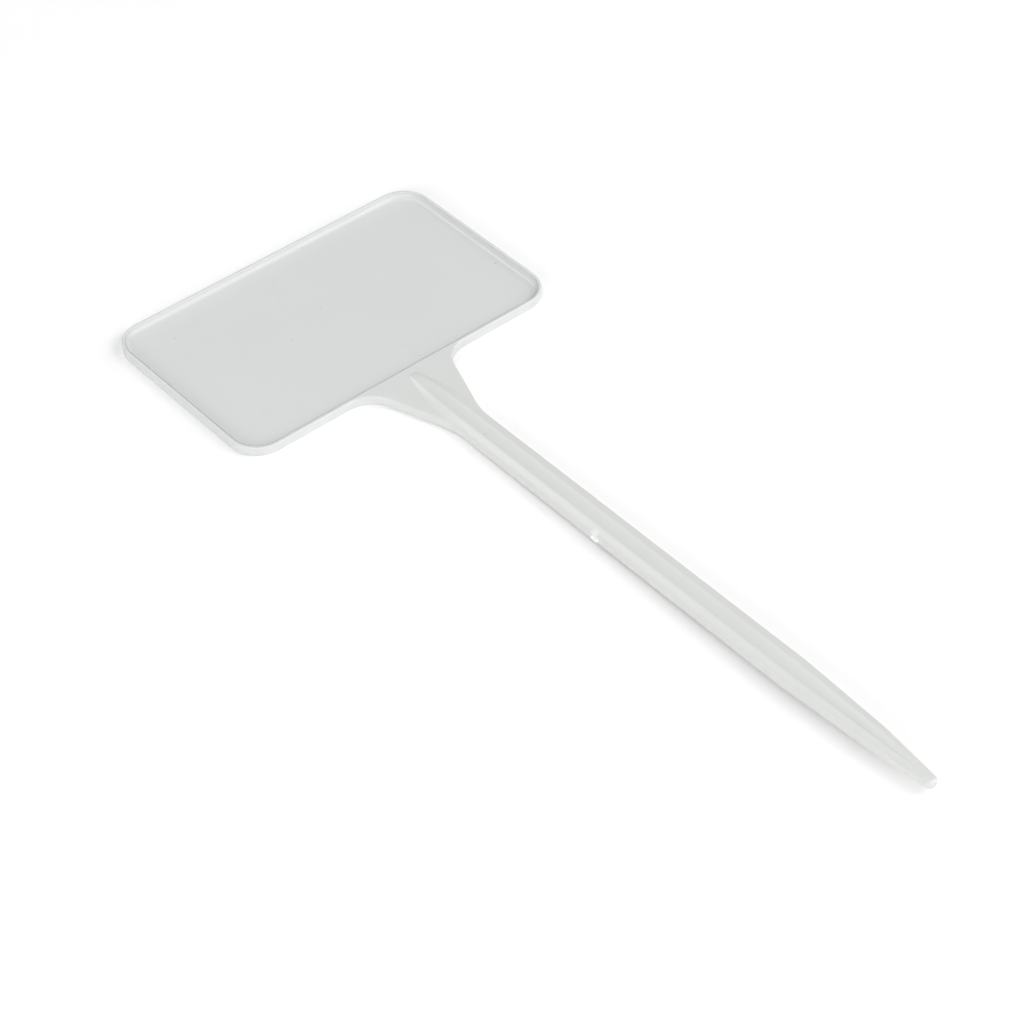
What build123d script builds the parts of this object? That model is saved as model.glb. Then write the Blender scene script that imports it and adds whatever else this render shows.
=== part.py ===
"""Plant label stake: a wide T-shaped label with a raised rim on a flared, ribbed spike.

The label lies face up on its flat underside. X runs along the label's width, Y from the
tip of the spike towards the label's far edge, Z up. The origin is the middle of the
underside. All lengths are in millimetres.
"""
from build123d import *
import math
import os

# Label: a shallow tray inside a raised rim
label_width = 100.0
label_depth = 60.6
label_corner = 8.4
rim_height = 2.7
rim_width = 0.95
tray_depth = 1.5
tray_fillet = 1.4

# Stem: everything from the label's near edge to the tip
stem_length = 182.0
blade_width = 8.6

# Neck: the flare between the label and the blade
flare_width = 25.2
flare_length = 23.4
label_side_fillet = 9.0
blade_side_fillet = 20.0

# Point: two tapers to a blunt round tip, thinner towards its end
point_length = 44.0
shoulder_length = 18.0
shoulder_width = 6.1
shoulder_height = 2.6
tip_width = 3.1
tip_height = 2.0
tip_round = 1.45
taper_blend = 60.0
joint_lead = 3.0

# Edge rounding of the whole moulding
top_round = 0.4
base_round = 0.2

# Rib: two crests with a shallow groove between them, on top of neck, blade and point
crest_spacing = 4.1
crest_height = 0.42
groove_depth = 0.22
rib_clearance = 0.05
nose_setback = 1.6
tail_setback = 5.5

# Rib sections on the neck: place from nose to blade, then foot, spacing and height,
# all as shares. The foot spreads almost to the neck's edges and narrows with them.
nose_shares = (
    (0.00, 0.34, 0.45, 0.12),
    (0.10, 0.60, 0.60, 0.57),
    (0.35, 1.10, 0.80, 0.93),
    (0.60, 1.50, 1.00, 1.00),
    (0.80, 1.15, 1.00, 1.00),
    (1.00, 1.00, 1.00, 1.00),
)
shoulder_crest_share = 0.8
tail_crest_share = 0.35
tail_spacing_share = 0.35

# Gate mark: the small stub left where the runner was broken off
gate_distance = 75.5
gate_length = 2.6
gate_height = 1.4
gate_reach = 0.6
gate_taper_share = 0.65
gate_lift = 0.5

# A face counts as a top face when this share of its normal points up
top_face_share = 0.9

# One overrun serves all cuts
overrun = 5.0

# Places along Y, worked out from the sizes above
far_edge = (label_depth + stem_length) / 2
near_edge = far_edge - label_depth
tip_end = near_edge - stem_length
flare_lean = math.atan((flare_width - blade_width) / 2 / flare_length)
neck_end = near_edge - flare_length - blade_side_fillet * math.tan(flare_lean / 2)
point_start = tip_end + point_length
shoulder_start = tip_end + shoulder_length
point_joint = point_start + joint_lead
label_middle = near_edge + label_depth / 2
foot_width = blade_width - 2 * (top_round + rib_clearance)


def rounded_plate(inset):
    """The label's outline, drawn in by inset all round with concentric corners."""
    plate = RectangleRounded(label_width - 2 * inset, label_depth - 2 * inset, label_corner - inset)
    return Pos(0, label_middle, 0) * plate


def stem_outline():
    """The stem's plan from inside the label to the tip, before its corners are rounded."""
    half = (
        (flare_width / 2, label_middle),
        (flare_width / 2, near_edge),
        (blade_width / 2, near_edge - flare_length),
        (blade_width / 2, point_start),
        (shoulder_width / 2, shoulder_start),
        (tip_width / 2, tip_end),
    )
    mirrored = tuple((-x, y) for x, y in reversed(half))
    return make_face(Polyline(*half, *mirrored, close=True))


def corners_at(sketch, across, along):
    """The two outline corners that lie at plus and minus across, at the given place along Y."""
    return [
        corner
        for corner in sketch.vertices()
        if abs(abs(corner.X) - across) < base_round and abs(corner.Y - along) < base_round
    ]


def whole_outline():
    """Label and stem in one outline, with the neck, the tapers and the tip rounded."""
    outline = rounded_plate(0) + stem_outline()
    flare_end = near_edge - flare_length
    bends = (
        (flare_width / 2, near_edge, label_side_fillet),
        (blade_width / 2, flare_end, blade_side_fillet),
        (blade_width / 2, point_start, taper_blend),
        (shoulder_width / 2, shoulder_start, taper_blend),
        (tip_width / 2, tip_end, tip_round),
    )
    for across, along, radius in bends:
        outline = fillet(corners_at(outline, across, along), radius)
    return outline


def top_wedge():
    """What the point's two falling top faces leave out of the full thickness."""
    ceiling = rim_height + overrun
    side = make_face(
        Polyline(
            (point_start + overrun, rim_height),
            (point_start, rim_height),
            (shoulder_start, shoulder_height),
            (tip_end, tip_height),
            (tip_end - overrun, tip_height),
            (tip_end - overrun, ceiling),
            (point_start + overrun, ceiling),
            close=True,
        )
    )
    bends = [
        corner
        for corner in side.vertices()
        if corner.Y < ceiling and tip_end < corner.X < point_start + base_round
    ]
    side = fillet(bends, taper_blend)
    return extrude(Plane.YZ * side, amount=blade_width, both=True)


def border_edges(faces):
    """The outer edges of some faces, without the lines that two of them share."""
    edges = [edge for face in faces for edge in face.outer_wire().edges()]
    return [edge for edge in edges if sum(edge.is_same(other) for other in edges) == 1]


def moulding():
    """The whole plate: outline, falling point, rounded edges and tray, without the rib."""
    body = extrude(whole_outline(), amount=rim_height) - top_wedge()
    top_faces = [face for face in body.faces() if face.normal_at().Z > top_face_share]
    body = fillet(border_edges(top_faces), top_round)
    underside = body.faces().sort_by(Axis.Z)[0]
    body = fillet(border_edges([underside]), base_round)
    floor_height = rim_height - tray_depth
    tray = Pos(0, 0, floor_height) * extrude(rounded_plate(rim_width), amount=tray_depth + overrun)
    tray_floor = tray.faces().sort_by(Axis.Z)[0]
    return body - fillet(border_edges([tray_floor]), tray_fillet)


def slice_of(body, start, end):
    """The part of a body that lies between two places along Y."""
    front = Plane(origin=(0, start, 0), z_dir=(0, 1, 0))
    back = Plane(origin=(0, end, 0), z_dir=(0, -1, 0))
    return split(split(body, bisect_by=front), bisect_by=back)


def rib_section(along, base, foot, spacing, height, depth):
    """One cross-section of the rib: flat foot, two straight flanks and the groove."""
    crest = base + height
    right = Line((foot / 2, base), (spacing / 2, crest))
    groove = ThreePointArc((spacing / 2, crest), (0, crest - depth), (-spacing / 2, crest))
    left = Line((-spacing / 2, crest), (-foot / 2, base))
    sole = Line((-foot / 2, base), (foot / 2, base))
    plane = Plane(origin=(0, along, 0), x_dir=(1, 0, 0), z_dir=(0, -1, 0))
    return plane * make_face([right, groove, left, sole])


def full_section(along):
    """The rib's section on the straight blade."""
    return rib_section(along, rim_height, foot_width, crest_spacing, crest_height, groove_depth)


def rib_nose():
    """The rib growing out of the neck, from a narrow low nose to its full section."""
    start = near_edge - nose_setback
    sections = [
        rib_section(
            start + distance * (neck_end - start),
            rim_height,
            foot * foot_width,
            spacing * crest_spacing,
            height * crest_height,
            height * groove_depth,
        )
        for distance, foot, spacing, height in nose_shares
    ]
    return loft(sections, ruled=True)


def rib_tail():
    """The rib running down the point, lower and narrower, until its crests meet."""
    margin = blade_width - foot_width
    tail_end = tip_end + tail_setback
    fall = (tail_end - tip_end) / shoulder_length
    tail_base = tip_height + fall * (shoulder_height - tip_height)
    tail_width = tip_width + fall * (shoulder_width - tip_width) - margin
    shoulder_foot = shoulder_width - margin
    shoulder_spacing = crest_spacing * shoulder_foot / foot_width
    middle = rib_section(
        shoulder_start,
        shoulder_height,
        shoulder_foot,
        shoulder_spacing,
        shoulder_crest_share * crest_height,
        shoulder_crest_share * groove_depth,
    )
    end = rib_section(
        tail_end,
        tail_base,
        tail_width,
        tail_spacing_share * crest_spacing,
        tail_crest_share * crest_height,
        tail_crest_share * groove_depth,
    )
    first = loft([full_section(point_start), middle], ruled=True)
    return first + loft([middle, end], ruled=True)


def stiffening_rib():
    """The twin-crested rib: nose on the neck, straight run on the blade, tail on the point."""
    run = extrude(full_section(neck_end), amount=neck_end - point_start)
    return rib_nose() + run + rib_tail()


def gate_mark():
    """A stub on the blade's left side, smaller at its broken end."""
    wall = -blade_width / 2
    middle = near_edge - gate_distance
    height = gate_lift + gate_height / 2
    root = Plane(origin=(wall, middle, height), x_dir=(0, -1, 0), z_dir=(-1, 0, 0))
    base = root * Rectangle(gate_length, gate_height)
    broken = root.offset(gate_reach) * scale(Rectangle(gate_length, gate_height), gate_taper_share)
    return loft([base, broken])


def build():
    """All pieces by name."""
    body = moulding()
    label = slice_of(body, near_edge, far_edge + overrun)
    panel_core = extrude(rounded_plate(rim_width + tray_fillet), amount=rim_height + overrun)
    return {
        "writing_panel": label & panel_core,
        "raised_rim": label - panel_core,
        "neck_web": slice_of(body, neck_end, near_edge),
        "stake_blade": slice_of(body, point_joint, neck_end),
        "stake_point": slice_of(body, tip_end - overrun, point_joint),
        "stiffening_rib": stiffening_rib(),
        "gate_mark": gate_mark(),
    }


os.makedirs("parts", exist_ok=True)
for name, solid in build().items():
    export_step(solid, f"parts/{name}.step")
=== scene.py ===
"""Plant label stake: finished skins of its moulded regions, the white plastic and the studio.

Each region of the moulding is a surface worked out as whole arrays: a section carried along
a path, or a height over two parameters. Lengths are in metres, in the frame of the solids:
X across the label, Y from the spike's tip to the label's far edge, Z up.
"""
import math

import bmesh
import bpy
import numpy as np
from bpy.props import FloatProperty, FloatVectorProperty, IntProperty, PointerProperty
from mathutils import Matrix, Vector


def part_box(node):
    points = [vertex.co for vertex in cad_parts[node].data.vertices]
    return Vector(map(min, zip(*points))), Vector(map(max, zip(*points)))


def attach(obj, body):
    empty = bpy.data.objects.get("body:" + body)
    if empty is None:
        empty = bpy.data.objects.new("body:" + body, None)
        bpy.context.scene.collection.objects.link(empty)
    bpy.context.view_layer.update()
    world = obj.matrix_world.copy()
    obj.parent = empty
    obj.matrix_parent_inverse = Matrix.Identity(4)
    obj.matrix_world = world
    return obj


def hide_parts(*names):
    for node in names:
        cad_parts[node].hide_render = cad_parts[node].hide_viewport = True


bl_info = {
    "name": "Plant Label Stake",
    "version": (1, 0, 0),
    "blender": (4, 5, 0),
    "location": "3D View > Sidebar > Plant Label",
    "description": "Builds a moulded plant label on a ribbed spike, with its plastic and studio",
    "category": "Add Mesh",
}

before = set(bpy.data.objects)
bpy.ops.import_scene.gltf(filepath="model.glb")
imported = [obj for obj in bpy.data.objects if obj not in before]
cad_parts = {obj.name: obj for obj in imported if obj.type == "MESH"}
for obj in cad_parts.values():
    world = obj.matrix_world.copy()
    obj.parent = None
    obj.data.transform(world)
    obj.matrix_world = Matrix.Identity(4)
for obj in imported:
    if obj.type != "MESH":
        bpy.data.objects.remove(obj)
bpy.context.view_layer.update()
MM = 0.001

# Corners of the solids, which carry the driving sizes
RIM_LOW, RIM_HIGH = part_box("raised_rim")
PANEL_LOW, PANEL_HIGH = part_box("writing_panel")
NECK_LOW, NECK_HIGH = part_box("neck_web")
BLADE_LOW, BLADE_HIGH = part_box("stake_blade")
POINT_LOW, POINT_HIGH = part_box("stake_point")
GATE_LOW, GATE_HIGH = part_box("gate_mark")

NEAR_EDGE = NECK_HIGH.y
TIP_END = POINT_LOW.y
MOULD_TOP = RIM_HIGH.z
TRAY_INSET = RIM_HIGH.x - PANEL_HIGH.x

# Stations of a path: how far apart on a leg, and how far turned from one to the next on an arc
STATION_STEP = 1.5 * MM
STATION_TURN = math.radians(3)
FINE_STEP = 1.0 * MM
FINE_TURN = math.radians(0.2)

# Points closer than this are one, and a station this near to a cut still belongs to it
SAME_POINT = 1e-4 * MM
CUT_SLACK = 1e-3 * MM

# How far the stem's path runs on along the label's near edge
PATH_OVERRUN = 1.0 * MM

# Edges that bend by more than this stay sharp
SHARP_BEND = math.radians(40)

MIRROR_X = np.array([-1, 1, 1])


def length(name, description, default):
    """A size in metres that a user may change."""
    return FloatProperty(
        name=name, description=description, default=default, min=0, unit="LENGTH", precision=5
    )


def coordinate(name, description, default):
    """A coordinate in metres that a user may change."""
    return FloatProperty(name=name, description=description, default=default, unit="LENGTH")


def angle(name, description, degrees):
    """An angle that a user may change, with its default in degrees."""
    return FloatProperty(
        name=name, description=description, default=math.radians(degrees), subtype="ANGLE"
    )


def swatch(name, description, default):
    """A colour that a user may change."""
    return FloatVectorProperty(
        name=name, description=description, default=default, subtype="COLOR", min=0, max=1
    )


class PlantLabelSizes(bpy.types.PropertyGroup):
    """Sizes of the moulding that its solids' boxes don't give."""

    label_corner: length("Label corner", "Corner radius of the label's outline", 8.4 * MM)
    rim_width: length("Rim width", "Width of the rim's top", 0.95 * MM)
    rim_inner_round: length("Rim inner edge", "Rounding of the rim's top towards the tray", 0.42 * MM)
    top_round: length("Top edge", "Rounding of the moulding's outer top edge", 0.3 * MM)
    tip_edge: length("Tip edge", "Rounding that the top edge grows to at the tip", 0.9 * MM)
    base_round: length("Base edge", "Rounding of the edge on the underside", 0.2 * MM)
    flare_width: length("Flare width", "Neck's width where its flanks would meet the label", 25.2 * MM)
    flare_length: length("Flare length", "Length of the neck's slanting flanks", 23.4 * MM)
    label_side_fillet: length("Label side fillet", "Fillet between label and neck", 9.0 * MM)
    blade_side_fillet: length("Blade side fillet", "Fillet between neck and blade", 20.0 * MM)
    point_length: length("Point length", "From the first taper's start to the tip", 44.0 * MM)
    shoulder_length: length("Shoulder length", "From the second taper's start to the tip", 18.0 * MM)
    shoulder_width: length("Shoulder width", "Width where the second taper starts", 6.1 * MM)
    shoulder_height: length("Shoulder height", "Thickness where the second taper starts", 2.6 * MM)
    tip_width: length("Tip width", "Width of the blunt end before its corners are rounded", 3.1 * MM)
    tip_height: length("Tip height", "Thickness at the tip", 2.0 * MM)
    tip_round: length("Tip round", "Corner radius at the tip", 1.45 * MM)
    taper_blend: length("Taper blend", "Radius that blends the tapers", 60.0 * MM)
    crest_spacing: length("Crest spacing", "Distance between the rib's two crests", 4.1 * MM)
    crest_height: length("Crest height", "Height of the crests over the blade", 0.42 * MM)
    groove_depth: length("Groove depth", "Depth of the groove between the crests", 0.22 * MM)
    crest_round: length("Crest round", "Half width of the crests' rounding", 0.3 * MM)
    nose_setback: length("Nose setback", "From the label to the rib's nose", 1.6 * MM)
    nose_foot: length("Nose foot", "Half width of the rib's foot at its nose", 1.4 * MM)
    neck_foot: length("Neck foot", "Half width of the rib's foot where the neck leaves room for it", 5.0 * MM)
    nose_growth: length("Nose growth", "Length over which the crests spread and the groove opens", 9.0 * MM)
    nose_rise: length("Nose rise", "Length of the ramp up to the crests' height", 3.5 * MM)
    nose_blend: length("Nose blend", "Length over which the flanks stay hollow", 25.0 * MM)
    tail_setback: length("Tail setback", "From the rib's end to the tip", 5.5 * MM)
    arc_steps: IntProperty(name="Arc steps", description="Steps in a quarter round", default=8, min=2)


class PlantLabelFinish(bpy.types.PropertyGroup):
    """Colours and finish of the plastic."""

    plastic: swatch("Plastic", "Colour of the plastic", (0.692, 0.706, 0.699))
    speck: swatch("Specks", "Colour of dust and pits", (0.42, 0.44, 0.42))
    broken: swatch("Broken edge", "Colour of stressed plastic", (0.92, 0.93, 0.96))
    roughness: FloatProperty(
        name="Roughness",
        description="Roughness of the satin surface",
        default=0.3,
        min=0,
        max=1,
        subtype="FACTOR",
    )
    grain: length("Grain", "Size of the moulded grain", 0.35 * MM)


class PlantLabelStudio(bpy.types.PropertyGroup):
    """Camera and floor."""

    azimuth: angle("Azimuth", "Camera's turn about Z", -41.079)
    elevation: angle("Elevation", "Camera's height angle", 43.784)
    roll: angle("Roll", "Camera's roll", -0.009)
    distance: length("Distance", "From the camera to the point that it looks at", 688.728 * MM)
    focal: FloatProperty(
        name="Focal length", description="Lens in millimetres", default=99.757, min=1, unit="CAMERA"
    )
    aim_x: coordinate("Aim X", "X of the point that the camera looks at", -12.519 * MM)
    aim_y: coordinate("Aim Y", "Y of the point that the camera looks at", 6.053 * MM)
    floor_side: length("Floor", "Side of the floor", 6.0)
    floor_fall: angle("Floor fall", "How far the floor falls away under the spike", 0.8)


def rounded_path(corners, radii, step, turn_step):
    """Stations along a polyline whose corners are rounded by arcs.

    A leg from a to b gives a + (b - a) i / n. A corner of radius r gives centre + r (cos t, sin t),
    with the centre one radius from both legs. Returns the points and the normals on the left.
    """
    corners = np.asarray(corners, float)
    legs = np.diff(corners, axis=0)
    lengths = np.linalg.norm(legs, axis=1)
    directions = legs / lengths[:, None]
    normals = np.stack((-directions[:, 1], directions[:, 0]), axis=1)
    turns = np.arctan2(
        directions[:-1, 0] * directions[1:, 1] - directions[:-1, 1] * directions[1:, 0],
        (directions[:-1] * directions[1:]).sum(axis=1),
    )
    trims = np.concatenate(([0], np.abs(np.tan(turns / 2)) * np.asarray(radii, float), [0]))
    points, sides = [], []
    for i in range(len(legs)):
        start = corners[i] + directions[i] * trims[i]
        end = corners[i + 1] - directions[i] * trims[i + 1]
        count = max(1, math.ceil(np.linalg.norm(end - start) / step))
        shares = np.linspace(0, 1, count + 1)[:, None]
        points.append(start + (end - start) * shares)
        sides.append(np.repeat(normals[i][None], count + 1, axis=0))
        if i < len(turns) and radii[i] > 0:
            side = math.copysign(1, turns[i])
            centre = end + normals[i] * side * radii[i]
            count = max(2, math.ceil(abs(turns[i]) / turn_step))
            angles = np.linspace(0, turns[i], count + 1)[1:-1]
            turned = np.stack(
                (
                    normals[i][0] * np.cos(angles) - normals[i][1] * np.sin(angles),
                    normals[i][0] * np.sin(angles) + normals[i][1] * np.cos(angles),
                ),
                axis=1,
            )
            points.append(centre - turned * side * radii[i])
            sides.append(turned)
    points, sides = np.concatenate(points), np.concatenate(sides)
    moved = np.linalg.norm(np.diff(points, axis=0), axis=1) > SAME_POINT
    keep = np.concatenate(([True], moved))
    return points[keep], sides[keep]


def label_path(sizes):
    """The label's outline as a closed loop of stations, from the middle of its near edge."""
    corners = (
        (0, NEAR_EDGE),
        (RIM_HIGH.x, NEAR_EDGE),
        (RIM_HIGH.x, RIM_HIGH.y),
        (RIM_LOW.x, RIM_HIGH.y),
        (RIM_LOW.x, NEAR_EDGE),
        (0, NEAR_EDGE),
    )
    points, sides = rounded_path(corners, (sizes.label_corner,) * 4, STATION_STEP, STATION_TURN)
    return points[:-1], sides[:-1]


def stem_path(sizes):
    """The stem's right side from the tip to where it runs into the label's near edge."""
    point_start = TIP_END + sizes.point_length
    shoulder_start = TIP_END + sizes.shoulder_length
    corners = (
        (0, TIP_END),
        (sizes.tip_width / 2, TIP_END),
        (sizes.shoulder_width / 2, shoulder_start),
        (BLADE_HIGH.x, point_start),
        (BLADE_HIGH.x, BLADE_LOW.y),
        (BLADE_HIGH.x, NEAR_EDGE - sizes.flare_length),
        (sizes.flare_width / 2, NEAR_EDGE),
        (NECK_HIGH.x + PATH_OVERRUN, NEAR_EDGE),
    )
    radii = (
        sizes.tip_round,
        sizes.taper_blend,
        sizes.taper_blend,
        0,
        sizes.blade_side_fillet,
        sizes.label_side_fillet,
    )
    points, sides = rounded_path(corners, radii, STATION_STEP, STATION_TURN)
    return points[:-1], sides[:-1]


def smooth_share(value):
    """0 below 0, 1 above 1, and 3 t^2 - 2 t^3 between."""
    t = np.clip(value, 0, 1)
    return t * t * (3 - 2 * t)


def slab_height(sizes, along):
    """Top of the slab at places along Y: level, then two falls to the tip, blended by arcs."""
    corners = (
        (TIP_END - sizes.tip_width, sizes.tip_height),
        (TIP_END, sizes.tip_height),
        (TIP_END + sizes.shoulder_length, sizes.shoulder_height),
        (TIP_END + sizes.point_length, MOULD_TOP),
        (RIM_HIGH.y, MOULD_TOP),
    )
    radii = (0, sizes.taper_blend, sizes.taper_blend)
    points, _ = rounded_path(corners, radii, FINE_STEP, FINE_TURN)
    return np.interp(along, points[:, 0], points[:, 1])


def edge_round(sizes, along):
    """The top edge's rounding at places along Y, which grows from the shoulder to the tip."""
    shoulder = TIP_END + sizes.shoulder_length
    return np.interp(along, (TIP_END, shoulder), (sizes.tip_edge, sizes.top_round))


def grid_quads(rows, columns, closed_rows):
    """Quads of a grid numbered row by row, whose columns close into a loop."""
    index = np.arange(rows * columns).reshape(rows, columns)
    index = np.concatenate((index, index[:, :1]), axis=1)
    if closed_rows:
        index = np.concatenate((index, index[:1]), axis=0)
    corners = (index[:-1, :-1], index[:-1, 1:], index[1:, 1:], index[1:, :-1])
    return np.stack(corners, axis=-1).reshape(-1, 4)


def make_piece(name, surface, closed_rows, material, nodes):
    """Turns an array of rows and columns of points into a closed piece that stands for solids."""
    rows, columns = surface.shape[:2]
    faces = grid_quads(rows, columns, closed_rows).tolist()
    if not closed_rows:
        faces.append(list(range(columns)))
        faces.append(list(range((rows - 1) * columns, rows * columns)))
    mesh = bpy.data.meshes.new(name)
    mesh.from_pydata(surface.reshape(-1, 3), [], faces)
    shell = bmesh.new()
    shell.from_mesh(mesh)
    bmesh.ops.remove_doubles(shell, verts=shell.verts, dist=SAME_POINT)
    bmesh.ops.recalc_face_normals(shell, faces=shell.faces)
    shell.to_mesh(mesh)
    shell.free()
    mesh.shade_smooth()
    mesh.set_sharp_from_angle(angle=SHARP_BEND)
    mesh.materials.append(material)
    piece = bpy.data.objects.new(name, mesh)
    bpy.context.scene.collection.objects.link(piece)
    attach(piece, "root")
    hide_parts(*nodes)


def quarter(steps):
    """Sine and cosine from 0 to a quarter turn."""
    turn = np.linspace(0, math.pi / 2, steps + 1)
    return np.sin(turn), np.cos(turn)


def rim_surface(sizes):
    """The rim's closed section of (inset, height) pairs, carried round the label's outline.

    Outside it goes up a wall between two convex quarter rounds, then over the flat top and a
    small round, down a concave quarter circle to the tray's floor, and back under the label.
    """
    sine, cosine = quarter(sizes.arc_steps)
    outer, base, inner = sizes.top_round, sizes.base_round, sizes.rim_inner_round
    hollow = TRAY_INSET - sizes.rim_width
    floor = PANEL_HIGH.z
    inset = np.concatenate((
        base * (1 - sine),
        outer * (1 - cosine),
        sizes.rim_width - inner + inner * sine,
        sizes.rim_width + hollow * (1 - cosine),
        [TRAY_INSET],
    ))
    height = np.concatenate((
        base * (1 - cosine),
        MOULD_TOP - outer * (1 - sine),
        MOULD_TOP - inner * (1 - cosine),
        floor + hollow * (1 - sine),
        [0],
    ))
    points, sides = label_path(sizes)
    plan = points[:, None] + sides[:, None] * inset[None, :, None]
    level = np.broadcast_to(height, plan.shape[:2])
    return np.concatenate((plan, level[..., None]), axis=-1)


# Rings between the panel's middle and its outline, on top and underneath
PANEL_TOP_RINGS = 25
PANEL_BASE_RINGS = 13


def panel_surface(sizes):
    """The panel: its outline drawn in to the middle on top, and again underneath.

    A point is middle + share (outline - middle), with share going 0 to 1 at the panel's top
    and 1 to 0 at its underside.
    """
    points, sides = label_path(sizes)
    edge = points + sides * TRAY_INSET
    middle = np.array([0, (PANEL_LOW.y + PANEL_HIGH.y) / 2])
    share = np.concatenate((np.linspace(0, 1, PANEL_TOP_RINGS), np.linspace(1, 0, PANEL_BASE_RINGS)))
    level = np.concatenate((np.full(PANEL_TOP_RINGS, PANEL_HIGH.z), np.zeros(PANEL_BASE_RINGS)))
    plan = middle + share[:, None, None] * (edge - middle)[None]
    height = np.broadcast_to(level[:, None, None], plan.shape[:2] + (1,))
    return np.concatenate((plan, height), axis=-1)


# Steps across the stem's flat top and underside
STEM_ACROSS_STEPS = 8


def stem_surface(sizes, low, high):
    """The slab of the stem between two places along Y, one closed section for each station.

    With P the outline, N its inward normal and d the distance from it, a point of a round or
    wall is P + d N; the top and the underside run straight across between the rounds.
    """
    points, sides = stem_path(sizes)
    inside = (points[:, 1] > low - CUT_SLACK) & (points[:, 1] < high + CUT_SLACK)
    points, sides = points[inside], sides[inside]
    top = slab_height(sizes, points[:, 1])[:, None]
    edge = edge_round(sizes, points[:, 1])[:, None]
    base = sizes.base_round
    sine, cosine = quarter(sizes.arc_steps)
    shape = (len(points), len(sine))
    base_inset = np.broadcast_to(base * (1 - sine), shape)
    base_height = np.broadcast_to(base * (1 - cosine), shape)
    inset = np.concatenate((base_inset, edge * (1 - cosine)), axis=1)
    height = np.concatenate((base_height, top - edge * (1 - sine)), axis=1)
    plan = points[:, None] + sides[:, None] * inset[..., None]
    right = np.concatenate((plan, height[..., None]), axis=-1)
    width = np.linspace(1, -1, STEM_ACROSS_STEPS + 1)[1:-1]
    narrowing = np.stack((width, np.ones_like(width), np.ones_like(width)), axis=-1)
    top_row = right[:, -1:] * narrowing
    base_row = right[:, :1] * narrowing[::-1]
    return np.concatenate((right, top_row, right[:, ::-1] * MIRROR_X, base_row), axis=1)


# At the rib's nose the crests are closer together and lower by these shares. The lowering
# fades faster than the closeness, by this rate.
NOSE_CLOSENESS = 0.45
NOSE_LOWERING = 0.55
NOSE_LOWERING_RATE = 1.5

# The flanks' power is higher by this much at the nose, which makes them hollow
NOSE_HOLLOW = 0.6

# The foot widens by this share of the way from the nose, and stays this far inside the edge's
# rounding. A higher bend turns tighter from one to the other.
FOOT_SPREAD = 0.28
FOOT_CLEARANCE = 0.1 * MM
FOOT_BEND = 8

# Shares of the crests' spacing and height at the rib's end, the shoulder and the point's start,
# and the length over which the last of the height runs out
POINT_SPACING = (0.35, 0.68, 1)
POINT_HEIGHT = (0.55, 0.9, 1)
TAIL_RUN_OUT = 2.0 * MM

# The groove's depth for each height of the crests, at the same places and a little up the blade
POINT_GROOVE = (1.6, 1.85, 1.4, 1)
GROOVE_EASING = 10.0 * MM

# Rows along the rib
RIB_ROWS = 180


def rib_places(sizes):
    """Rows along the rib, close together at the nose, with its size at each.

    With d the distance from the nose, the middle rises as r = 1 - (1 - d / rise)^2 and the crests
    as r (1 - 0.55 exp(-1.5 d / growth)), so the nose is domed. The groove then opens as
    1 - exp(-d / growth), and the crests spread as 1 - 0.45 exp(-d / growth). The foot widens in a
    line to the neck foot, then runs along the blade's edge. On the point all shrink to the tail,
    and the groove is deeper for its width. The flanks' power falls from 1.6 to 1 past the nose.
    """
    nose = NEAR_EDGE - sizes.nose_setback
    tail = TIP_END + sizes.tail_setback
    shoulder = TIP_END + sizes.shoulder_length
    point = TIP_END + sizes.point_length
    share = np.linspace(0, 1, RIB_ROWS)
    along = nose - (nose - tail) * (share**2 + share) / 2
    from_nose, from_tail = nose - along, along - tail
    ending = np.exp(-from_nose / sizes.nose_growth)
    spacing = (1 - NOSE_CLOSENESS * ending) * np.interp(along, (tail, shoulder, point), POINT_SPACING)
    crest = sizes.crest_spacing / 2 * spacing
    rise = 1 - np.clip(1 - from_nose / sizes.nose_rise, 0, 1) ** 2
    fall = np.interp(along, (tail, shoulder, point), POINT_HEIGHT)
    ridge = sizes.crest_height * rise * fall * (1 - np.exp(-from_tail / TAIL_RUN_OUT))
    height = ridge * (1 - NOSE_LOWERING * ending**NOSE_LOWERING_RATE)
    outline, _ = stem_path(sizes)
    edge = np.interp(along, outline[:, 1], outline[:, 0])
    reach = edge - edge_round(sizes, along) - FOOT_CLEARANCE
    widths = (sizes.nose_foot + FOOT_SPREAD * from_nose, sizes.neck_foot, reach)
    foot = sum(width**-FOOT_BEND for width in widths) ** (-1 / FOOT_BEND)
    deepening = np.interp(along, (tail, shoulder, point, point + GROOVE_EASING), POINT_GROOVE)
    groove = sizes.groove_depth * (1 - ending) * deepening * ridge / sizes.crest_height
    power = 1 + NOSE_HOLLOW * smooth_share(1 - from_nose / sizes.nose_blend)
    return along, crest, height, foot, height - ridge + groove, power


# Steps across half the rib's groove, a crest's round, a flank and the whole flat underside
GROOVE_STEPS = 8
CREST_STEPS = 4
FLANK_STEPS = 14
SOLE_STEPS = 6

# A crest's round is at most one of this many parts of the way to the middle. Its height is
# the mean of this many places, also for points that rounding puts this much outside it.
CREST_PARTS = 6
CREST_PLACES = 9
CREST_SLACK = 1.001


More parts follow.
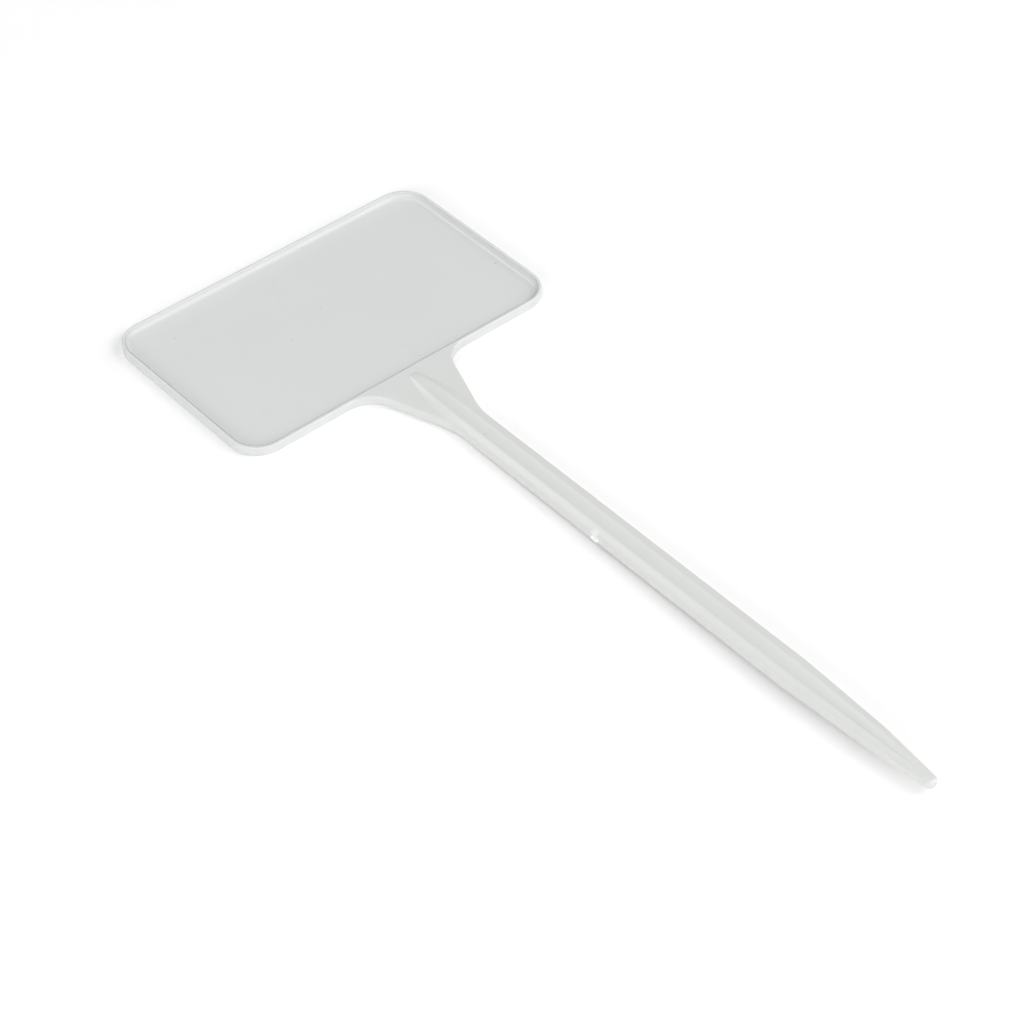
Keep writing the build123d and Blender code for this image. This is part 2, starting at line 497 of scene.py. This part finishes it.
def rib_surface(sizes):
    """The rib: for each row, a groove between two crests, and flanks down to the slab.

    Between the crests the height is h - g (1 - (x/c)^2). Outside it is h (1 - t)^p, with t going
    from 0 at the crest to 1 at the foot. The crests are averaged over a small width.
    """
    along, crest, height, foot, depth, power = (v[:, None] for v in rib_places(sizes))
    blunt = np.minimum(sizes.crest_round, crest / CREST_PARTS)
    groove = np.linspace(0, 1, GROOVE_STEPS + 1)[None, :-1] * (crest - blunt)
    around = crest + blunt * np.linspace(-1, 1, CREST_STEPS + 1)[None]
    flank = crest + blunt + (foot - crest - blunt) * np.linspace(0, 1, FLANK_STEPS + 1)[None, 1:]
    across = np.concatenate((groove, around, flank), axis=1)

    def raw(x):
        """The height before the crests are averaged."""
        fall = np.clip((x - crest) / (foot - crest), 0, 1)
        hollow = height - depth * (1 - (x / crest) ** 2)
        return np.where(x < crest, hollow, height * (1 - fall) ** power)

    window = np.linspace(-1, 1, CREST_PLACES)
    averaged = np.mean([raw(across + blunt * w) for w in window], axis=0)
    on_crest = np.abs(across - crest) <= blunt * CREST_SLACK
    level = np.where(on_crest, averaged, raw(across))
    base = slab_height(sizes, along)
    half = np.stack((across, np.broadcast_to(along, across.shape), base + level), axis=-1)
    upper = np.concatenate((half[:, ::-1], half[:, 1:] * MIRROR_X), axis=1)
    sole = foot * np.linspace(-1, 1, SOLE_STEPS + 1)[None, 1:-1]
    under = np.stack(np.broadcast_arrays(sole, along, base), axis=-1)
    return np.concatenate((upper, under), axis=1)


# Rings of the broken stub: how far out each lies, and how large it is, as shares. The first
# lies inside the blade, and the last two further in again, so the broken end is sunk.
GATE_RINGS = (
    (-0.5, 1.0),
    (0.0, 1.0),
    (0.3, 0.96),
    (0.6, 0.92),
    (0.85, 0.86),
    (1.0, 0.72),
    (0.9, 0.4),
    (0.7, 0.0),
)
GATE_POINTS = 32
GATE_SQUARENESS = 0.5

# The torn end: how much of the reach is missing at most, and in which waves round the end
TEAR_DEPTH = 0.3
TEAR_WAVES = 2.5
TEAR_START = 0.6


def squared(wave):
    """A sine or cosine that stays longer near its ends: its sign times the root of its size."""
    return np.sign(wave) * np.abs(wave) ** GATE_SQUARENESS


def gate_surface():
    """The broken stub: a rounded rectangle that shrinks as it leaves the blade's wall.

    Its end is torn: with t the turn round it, the reach is less by up to
    0.3 |sin(2.5 t + 0.6)|. Its middle is sunk.
    """
    turn = np.linspace(0, 2 * math.pi, GATE_POINTS + 1)[:-1]
    share, scale = np.array(GATE_RINGS).T[..., None]
    middle = (GATE_LOW + GATE_HIGH) / 2
    reach = GATE_HIGH.x - GATE_LOW.x
    torn = 1 - TEAR_DEPTH * np.clip(share, 0, 1) * np.abs(np.sin(TEAR_WAVES * turn + TEAR_START))
    half_y, half_z = (GATE_HIGH.y - GATE_LOW.y) / 2, (GATE_HIGH.z - GATE_LOW.z) / 2
    x = GATE_HIGH.x - reach * share * torn
    y = middle.y + squared(np.cos(turn)) * half_y * scale
    z = middle.z + squared(np.sin(turn)) * half_z * scale
    return np.stack((x, y, z), axis=-1)


def add(tree, kind, sockets=None, **settings):
    """A shader node with its settings, and own values for its input sockets by name or number."""
    node = tree.nodes.new(kind)
    for key, value in settings.items():
        setattr(node, key, value)
    for key, value in (sockets or {}).items():
        node.inputs[key].default_value = value
    return node


def ramp(tree, low, high, start, end, kind="LINEAR"):
    """A node that turns values from low to high into values from start to end."""
    sockets = {"From Min": low, "From Max": high, "To Min": start, "To Max": end}
    return add(tree, "ShaderNodeMapRange", sockets, interpolation_type=kind)


def new_group(name, inputs, outputs):
    """An empty node group with number sockets, and its two end nodes."""
    group = bpy.data.node_groups.new(name, "ShaderNodeTree")
    for socket in inputs:
        group.interface.new_socket(socket, in_out="INPUT", socket_type="NodeSocketFloat")
    for socket in outputs:
        group.interface.new_socket(socket, in_out="OUTPUT", socket_type="NodeSocketFloat")
    return group, add(group, "NodeGroupInput"), add(group, "NodeGroupOutput")


def add_group(tree, name, make, sockets):
    """Places a shared node group with its own values; the group is made on first use."""
    group = bpy.data.node_groups.get(name) or make(name)
    return add(tree, "ShaderNodeGroup", sockets, node_tree=group)


# Slow tones of the plastic, in features for each metre
TONE_SCALE = 45.0


def grain_group(name):
    """Moulded satin grain: a fine height and a slow tone, on object coordinates."""
    group, inside, outside = new_group(name, ("Size",), ("Height", "Tone"))
    link = group.links.new
    place = add(group, "ShaderNodeTexCoord")
    scale = add(group, "ShaderNodeMath", {0: 1.0}, operation="DIVIDE")
    fine = add(group, "ShaderNodeTexNoise", {"Detail": 3.0})
    slow = add(group, "ShaderNodeTexNoise", {"Scale": TONE_SCALE, "Detail": 4.0})
    link(inside.outputs["Size"], scale.inputs[1])
    link(place.outputs["Object"], fine.inputs["Vector"])
    link(scale.outputs[0], fine.inputs["Scale"])
    link(place.outputs["Object"], slow.inputs["Vector"])
    link(fine.outputs["Fac"], outside.inputs["Height"])
    link(slow.outputs["Fac"], outside.inputs["Tone"])
    return group


# Specks: cells for each metre, the share of cells without one, the largest radius in cells
# and how faint or dark one may be
SPECK_CELLS = 85.0
CLEAN_CELLS = 0.62
SPECK_RADIUS = 0.055
SPECK_FAINT = 0.15
SPECK_DARK = 0.8

# Scuffs: bends for each metre, and how near to the noise's middle value a line lies
SCUFF_SCALE = 60.0
SCUFF_MIDDLE = 0.5
SCUFF_WIDTH = 0.02

# Patches that scuffs are kept in: how many for each metre, and where one begins and is full
PATCH_SCALE = 85.0
PATCH_START = 0.56
PATCH_FULL = 0.68


def marks_group(name):
    """Dust specks and faint scuffs of handling, on the object's X and Y.

    A speck is a disc round the feature point of some cells. A scuff is where a slow noise
    crosses its middle value, kept only where a second noise is high.
    """
    group, inside, outside = new_group(name, ("Cells",), ("Speck", "Scuff"))
    link = group.links.new
    place = add(group, "ShaderNodeTexCoord")
    cells = add(group, "ShaderNodeTexVoronoi", voronoi_dimensions="2D")
    parts = add(group, "ShaderNodeSeparateColor")
    size = ramp(group, CLEAN_CELLS, 1, 0, SPECK_RADIUS)
    disc = ramp(group, 0, SPECK_RADIUS, 1, 0, "SMOOTHSTEP")
    strength = ramp(group, 0, 1, SPECK_FAINT, SPECK_DARK)
    speck = add(group, "ShaderNodeMath", operation="MULTIPLY")
    link(place.outputs["Object"], cells.inputs["Vector"])
    link(inside.outputs["Cells"], cells.inputs["Scale"])
    link(cells.outputs["Color"], parts.inputs["Color"])
    link(parts.outputs["Red"], size.inputs["Value"])
    link(cells.outputs["Distance"], disc.inputs["Value"])
    link(size.outputs["Result"], disc.inputs["From Max"])
    link(parts.outputs["Green"], strength.inputs["Value"])
    link(disc.outputs["Result"], speck.inputs[0])
    link(strength.outputs["Result"], speck.inputs[1])
    link(speck.outputs[0], outside.inputs["Speck"])

    bend = add(group, "ShaderNodeTexNoise", {"Scale": SCUFF_SCALE, "Detail": 1.0}, noise_dimensions="2D")
    middle = add(group, "ShaderNodeMath", {1: SCUFF_MIDDLE}, operation="SUBTRACT")
    away = add(group, "ShaderNodeMath", operation="ABSOLUTE")
    line = ramp(group, 0, SCUFF_WIDTH, 1, 0, "SMOOTHSTEP")
    patch = add(group, "ShaderNodeTexNoise", {"Scale": PATCH_SCALE}, noise_dimensions="2D")
    some = ramp(group, PATCH_START, PATCH_FULL, 0, 1, "SMOOTHSTEP")
    scuff = add(group, "ShaderNodeMath", operation="MULTIPLY")
    link(place.outputs["Object"], bend.inputs["Vector"])
    link(bend.outputs["Fac"], middle.inputs[0])
    link(middle.outputs[0], away.inputs[0])
    link(away.outputs[0], line.inputs["Value"])
    link(place.outputs["Object"], patch.inputs["Vector"])
    link(patch.outputs["Fac"], some.inputs["Value"])
    link(line.outputs["Result"], scuff.inputs[0])
    link(some.outputs["Result"], scuff.inputs[1])
    link(scuff.outputs[0], outside.inputs["Scuff"])
    return group


# Plastic: how far the slow tones and the roughness vary, and the relief of the grain
PLASTIC_IOR = 1.49
TONE_RANGE = 0.03
ROUGHNESS_SWING = 0.03
GRAIN_STRENGTH = 0.08
GRAIN_RELIEF = 0.25

# The stem is warmer than the label. The change starts this far inside the label.
STEM_WARMTH = (1.01, 1.006, 0.988, 1)
STEM_BLEND = 8.0 * MM

# What a scuff leaves of the colour
SCUFF_TONE = 0.985

# The light scar on the blade's wall, just above the broken stub
SCAR_MIDDLE = (
    GATE_HIGH.x,
    (GATE_LOW.y + GATE_HIGH.y) / 2 + 0.3 * MM,
    GATE_HIGH.z + 0.4 * MM,
)
SCAR_CORE = 0.4 * MM
SCAR_REACH = 1.7 * MM
SCAR_STRENGTH = 0.45


def plastic_material(name, colour, finish):
    """White satin plastic: slow tones, fine grain, a warmer stem, specks, scuffs and a gate scar."""
    material = bpy.data.materials.new(name)
    material.use_nodes = True
    tree = material.node_tree
    link = tree.links.new
    shader = tree.nodes["Principled BSDF"]
    shader.inputs["IOR"].default_value = PLASTIC_IOR
    place = add(tree, "ShaderNodeTexCoord")
    grain = add_group(tree, "Moulded grain", grain_group, {"Size": finish.grain})
    marks = add_group(tree, "Handling marks", marks_group, {"Cells": SPECK_CELLS})

    tone = ramp(tree, 0, 1, 1 - TONE_RANGE / 2, 1 + TONE_RANGE / 2)
    toned = add(tree, "ShaderNodeVectorMath", {0: colour}, operation="SCALE")
    link(grain.outputs["Tone"], tone.inputs["Value"])
    link(tone.outputs["Result"], toned.inputs["Scale"])

    split = add(tree, "ShaderNodeSeparateXYZ")
    stem = ramp(tree, NEAR_EDGE + STEM_BLEND, NECK_LOW.y, 0, 1, "SMOOTHSTEP")
    warm = add(tree, "ShaderNodeMix", {"B": STEM_WARMTH}, data_type="RGBA", blend_type="MULTIPLY")
    link(place.outputs["Object"], split.inputs["Vector"])
    link(split.outputs["Y"], stem.inputs["Value"])
    link(stem.outputs["Result"], warm.inputs["Factor"])
    link(toned.outputs["Vector"], warm.inputs["A"])

    dark = add(tree, "ShaderNodeMix", {"B": (*finish.speck, 1)}, data_type="RGBA")
    link(marks.outputs["Speck"], dark.inputs["Factor"])
    link(warm.outputs["Result"], dark.inputs["A"])

    away = add(tree, "ShaderNodeVectorMath", {1: SCAR_MIDDLE}, operation="DISTANCE")
    scar = ramp(tree, SCAR_CORE, SCAR_REACH, SCAR_STRENGTH, 0, "SMOOTHSTEP")
    white = add(tree, "ShaderNodeMix", {"B": (*finish.broken, 1)}, data_type="RGBA")
    link(place.outputs["Object"], away.inputs[0])
    link(away.outputs["Value"], scar.inputs["Value"])
    link(scar.outputs["Result"], white.inputs["Factor"])
    link(dark.outputs["Result"], white.inputs["A"])

    dull = ramp(tree, 0, 1, 1, SCUFF_TONE)
    worn = add(tree, "ShaderNodeVectorMath", operation="SCALE")
    link(marks.outputs["Scuff"], dull.inputs["Value"])
    link(white.outputs["Result"], worn.inputs[0])
    link(dull.outputs["Result"], worn.inputs["Scale"])
    link(worn.outputs["Vector"], shader.inputs["Base Color"])

    rough = ramp(tree, 0, 1, finish.roughness - ROUGHNESS_SWING, finish.roughness + ROUGHNESS_SWING)
    relief = {"Strength": GRAIN_STRENGTH, "Distance": finish.grain * GRAIN_RELIEF}
    bump = add(tree, "ShaderNodeBump", relief)
    link(grain.outputs["Tone"], rough.inputs["Value"])
    link(rough.outputs["Result"], shader.inputs["Roughness"])
    link(grain.outputs["Height"], bump.inputs["Height"])
    link(bump.outputs["Normal"], shader.inputs["Normal"])
    return material


def plastic(name):
    """The named plastic, made on first use."""
    found = bpy.data.materials.get(name)
    if found:
        return found
    finish = bpy.context.scene.plant_label_finish
    colour = finish.broken if name == "Stressed plastic" else finish.plastic
    return plastic_material(name, colour, finish)


# The floor is lit as near-white paper is, and glows this much where the camera or a
# reflection sees it
PAPER = (0.93, 0.93, 0.93, 1)
FLOOR_LIFT = 0.08


def floor_material():
    """White floor: lit as paper is, and lifted to white only for the camera and reflections."""
    material = bpy.data.materials.new("White floor")
    material.use_nodes = True
    tree = material.node_tree
    link = tree.links.new
    tree.nodes.remove(tree.nodes["Principled BSDF"])
    output = tree.nodes["Material Output"]
    paper = add(tree, "ShaderNodeBsdfDiffuse", {"Color": PAPER})
    glow = add(tree, "ShaderNodeEmission")
    path = add(tree, "ShaderNodeLightPath")
    seen = add(tree, "ShaderNodeMath", operation="MAXIMUM")
    seen_more = add(tree, "ShaderNodeMath", operation="MAXIMUM")
    lift = add(tree, "ShaderNodeMath", {1: FLOOR_LIFT}, operation="MULTIPLY")
    both = add(tree, "ShaderNodeAddShader")
    link(path.outputs["Is Camera Ray"], seen.inputs[0])
    link(path.outputs["Is Glossy Ray"], seen.inputs[1])
    link(seen.outputs[0], seen_more.inputs[0])
    link(path.outputs["Is Transmission Ray"], seen_more.inputs[1])
    link(seen_more.outputs[0], lift.inputs[0])
    link(lift.outputs[0], glow.inputs["Strength"])
    link(paper.outputs[0], both.inputs[0])
    link(glow.outputs[0], both.inputs[1])
    link(both.outputs[0], output.inputs["Surface"])
    return material


class PlantLabelOperator:
    """What every operator of this file shares."""

    bl_options = {"REGISTER", "UNDO"}

    @property
    def sizes(self):
        """The sizes that the user may have changed."""
        return bpy.context.scene.plant_label_sizes


class PLANTLABEL_OT_rim(PlantLabelOperator, bpy.types.Operator):
    """Build the raised rim round the tray"""

    bl_idname = "plant_label.rim"
    bl_label = "Raised rim"

    def execute(self, context):
        surface = rim_surface(self.sizes)
        make_piece("rim_skin", surface, True, plastic("White plastic"), ["raised_rim"])
        return {"FINISHED"}


class PLANTLABEL_OT_panel(PlantLabelOperator, bpy.types.Operator):
    """Build the writing panel at the bottom of the tray"""

    bl_idname = "plant_label.panel"
    bl_label = "Writing panel"

    def execute(self, context):
        surface = panel_surface(self.sizes)
        make_piece("panel_skin", surface, False, plastic("White plastic"), ["writing_panel"])
        return {"FINISHED"}


class PLANTLABEL_OT_stem(PlantLabelOperator, bpy.types.Operator):
    """Build the neck, the blade and the point"""

    bl_idname = "plant_label.stem"
    bl_label = "Neck, blade and point"

    def execute(self, context):
        stretches = (
            ("neck_skin", "neck_web", NECK_LOW.y, NEAR_EDGE),
            ("blade_skin", "stake_blade", BLADE_LOW.y, NECK_LOW.y),
            ("point_skin", "stake_point", TIP_END, POINT_HIGH.y),
        )
        for name, node, low, high in stretches:
            surface = stem_surface(self.sizes, low, high)
            make_piece(name, surface, False, plastic("White plastic"), [node])
        return {"FINISHED"}


class PLANTLABEL_OT_rib(PlantLabelOperator, bpy.types.Operator):
    """Build the rib with its two crests"""

    bl_idname = "plant_label.rib"
    bl_label = "Stiffening rib"

    def execute(self, context):
        surface = rib_surface(self.sizes)
        make_piece("rib_skin", surface, False, plastic("White plastic"), ["stiffening_rib"])
        return {"FINISHED"}


class PLANTLABEL_OT_gate(PlantLabelOperator, bpy.types.Operator):
    """Build the stub where the runner was broken off"""

    bl_idname = "plant_label.gate"
    bl_label = "Gate mark"

    def execute(self, context):
        make_piece("gate_stub", gate_surface(), False, plastic("Stressed plastic"), ["gate_mark"])
        return {"FINISHED"}


class PLANTLABEL_OT_studio(PlantLabelOperator, bpy.types.Operator):
    """Set up the camera, the lamps, the world and the white floor"""

    bl_idname = "plant_label.studio"
    bl_label = "Studio"

    def execute(self, context):
        studio = context.scene.plant_label_studio
        place_camera(studio)
        place_lamps()
        make_world()
        make_floor(studio)
        context.scene.view_settings.view_transform = "Standard"
        return {"FINISHED"}


def outward(azimuth, elevation):
    """The direction (sin a cos e, -cos a cos e, sin e), for a turn a about Z and a height angle e."""
    return Vector((
        math.sin(azimuth) * math.cos(elevation),
        -math.cos(azimuth) * math.cos(elevation),
        math.sin(elevation),
    ))


def place_camera(studio):
    """A camera turned by azimuth about Z, raised by elevation and rolled about its own axis."""
    back = outward(studio.azimuth, studio.elevation)
    right = Vector((0, 0, 1)).cross(back).normalized()
    up = back.cross(right)
    axes = Matrix((right, up, back)).transposed() @ Matrix.Rotation(studio.roll, 3, "Z")
    aim = Vector((studio.aim_x, studio.aim_y, 0))
    camera = bpy.data.objects.new("camera", bpy.data.cameras.new("camera"))
    camera.data.lens = studio.focal
    camera.matrix_world = Matrix.Translation(aim + back * studio.distance) @ axes.to_4x4()
    bpy.context.scene.collection.objects.link(camera)
    bpy.context.scene.camera = camera


# Lamps: name, azimuth and elevation in degrees, and share of the power for plain white
LAMPS = (
    ("front_left", -41, 50, 0.23),
    ("front_right", 45, 45, 0.345),
    ("low_front", 0, 20, 0.065),
    ("low_left", -70, 20, 0.44),
    ("low_right", 60, 20, 0.315),
    ("back", 180, 51, 0.24),
)
LAMP_DISTANCE = 2.5
LAMP_SIDE = 1.14
LAMP_POWER = 61.7
WORLD_STRENGTH = 0.21


def place_lamps():
    """Square softboxes on a sphere round the object, each facing its middle.

    A share of 1 lights a white card that faces the lamp to plain white.
    """
    for name, azimuth, elevation, share in LAMPS:
        out = outward(math.radians(azimuth), math.radians(elevation))
        light = bpy.data.lights.new(name, "AREA")
        light.size = LAMP_SIDE
        light.energy = LAMP_POWER * share
        lamp = bpy.data.objects.new(name, light)
        lamp.location = out * LAMP_DISTANCE
        lamp.rotation_euler = (-out).to_track_quat("-Z", "Y").to_euler()
        bpy.context.scene.collection.objects.link(lamp)


def make_world():
    """Even white light from all round."""
    world = bpy.data.worlds.new("Studio")
    world.use_nodes = True
    fill = world.node_tree.nodes["Background"]
    fill.inputs["Color"].default_value = (1, 1, 1, 1)
    fill.inputs["Strength"].default_value = WORLD_STRENGTH
    bpy.context.scene.world = world


def make_floor(studio):
    """A plain white floor, level under the label and falling away a little under the spike.

    The fall starts below the middle of the neck. It gives the spike a shadow that is soft and
    wide, as under something that stands a little off its table.
    """
    half, fold = studio.floor_side / 2, (NECK_LOW.y + NECK_HIGH.y) / 2
    drop = (fold + half) * math.tan(studio.floor_fall)
    corners = (
        (-half, -half, -drop),
        (half, -half, -drop),
        (half, fold, 0),
        (-half, fold, 0),
        (half, half, 0),
        (-half, half, 0),
    )
    mesh = bpy.data.meshes.new("floor")
    mesh.from_pydata(corners, [], [(0, 1, 2, 3), (3, 2, 4, 5)])
    mesh.materials.append(floor_material())
    floor = bpy.data.objects.new("floor", mesh)
    bpy.context.scene.collection.objects.link(floor)


class PLANTLABEL_PT_panel(bpy.types.Panel):
    """Lists the builders and their sizes"""

    bl_idname = "PLANTLABEL_PT_panel"
    bl_label = "Plant Label"
    bl_space_type = "VIEW_3D"
    bl_region_type = "UI"
    bl_category = "Plant Label"

    def draw(self, context):
        column = self.layout.column()
        for operator in OPERATORS:
            column.operator(operator.bl_idname)
        scene = context.scene
        for group in (scene.plant_label_sizes, scene.plant_label_finish, scene.plant_label_studio):
            for name in group.bl_rna.properties.keys():
                if name not in {"rna_type", "name"}:
                    column.prop(group, name)


OPERATORS = (
    PLANTLABEL_OT_rim,
    PLANTLABEL_OT_panel,
    PLANTLABEL_OT_stem,
    PLANTLABEL_OT_rib,
    PLANTLABEL_OT_gate,
    PLANTLABEL_OT_studio,
)
CLASSES = (PlantLabelSizes, PlantLabelFinish, PlantLabelStudio, *OPERATORS, PLANTLABEL_PT_panel)


def register():
    """Registers the classes and gives each scene the three groups of settings."""
    for cls in CLASSES:
        bpy.utils.register_class(cls)
    bpy.types.Scene.plant_label_sizes = PointerProperty(type=PlantLabelSizes)
    bpy.types.Scene.plant_label_finish = PointerProperty(type=PlantLabelFinish)
    bpy.types.Scene.plant_label_studio = PointerProperty(type=PlantLabelStudio)


def unregister():
    """Takes the settings and the classes away again."""
    del bpy.types.Scene.plant_label_studio
    del bpy.types.Scene.plant_label_finish
    del bpy.types.Scene.plant_label_sizes
    for cls in reversed(CLASSES):
        bpy.utils.unregister_class(cls)


def main():
    """Builds every piece in turn."""
    register()
    for operator in OPERATORS:
        group, name = operator.bl_idname.split(".")
        getattr(getattr(bpy.ops, group), name)()


if __name__ == "__main__":
    main()
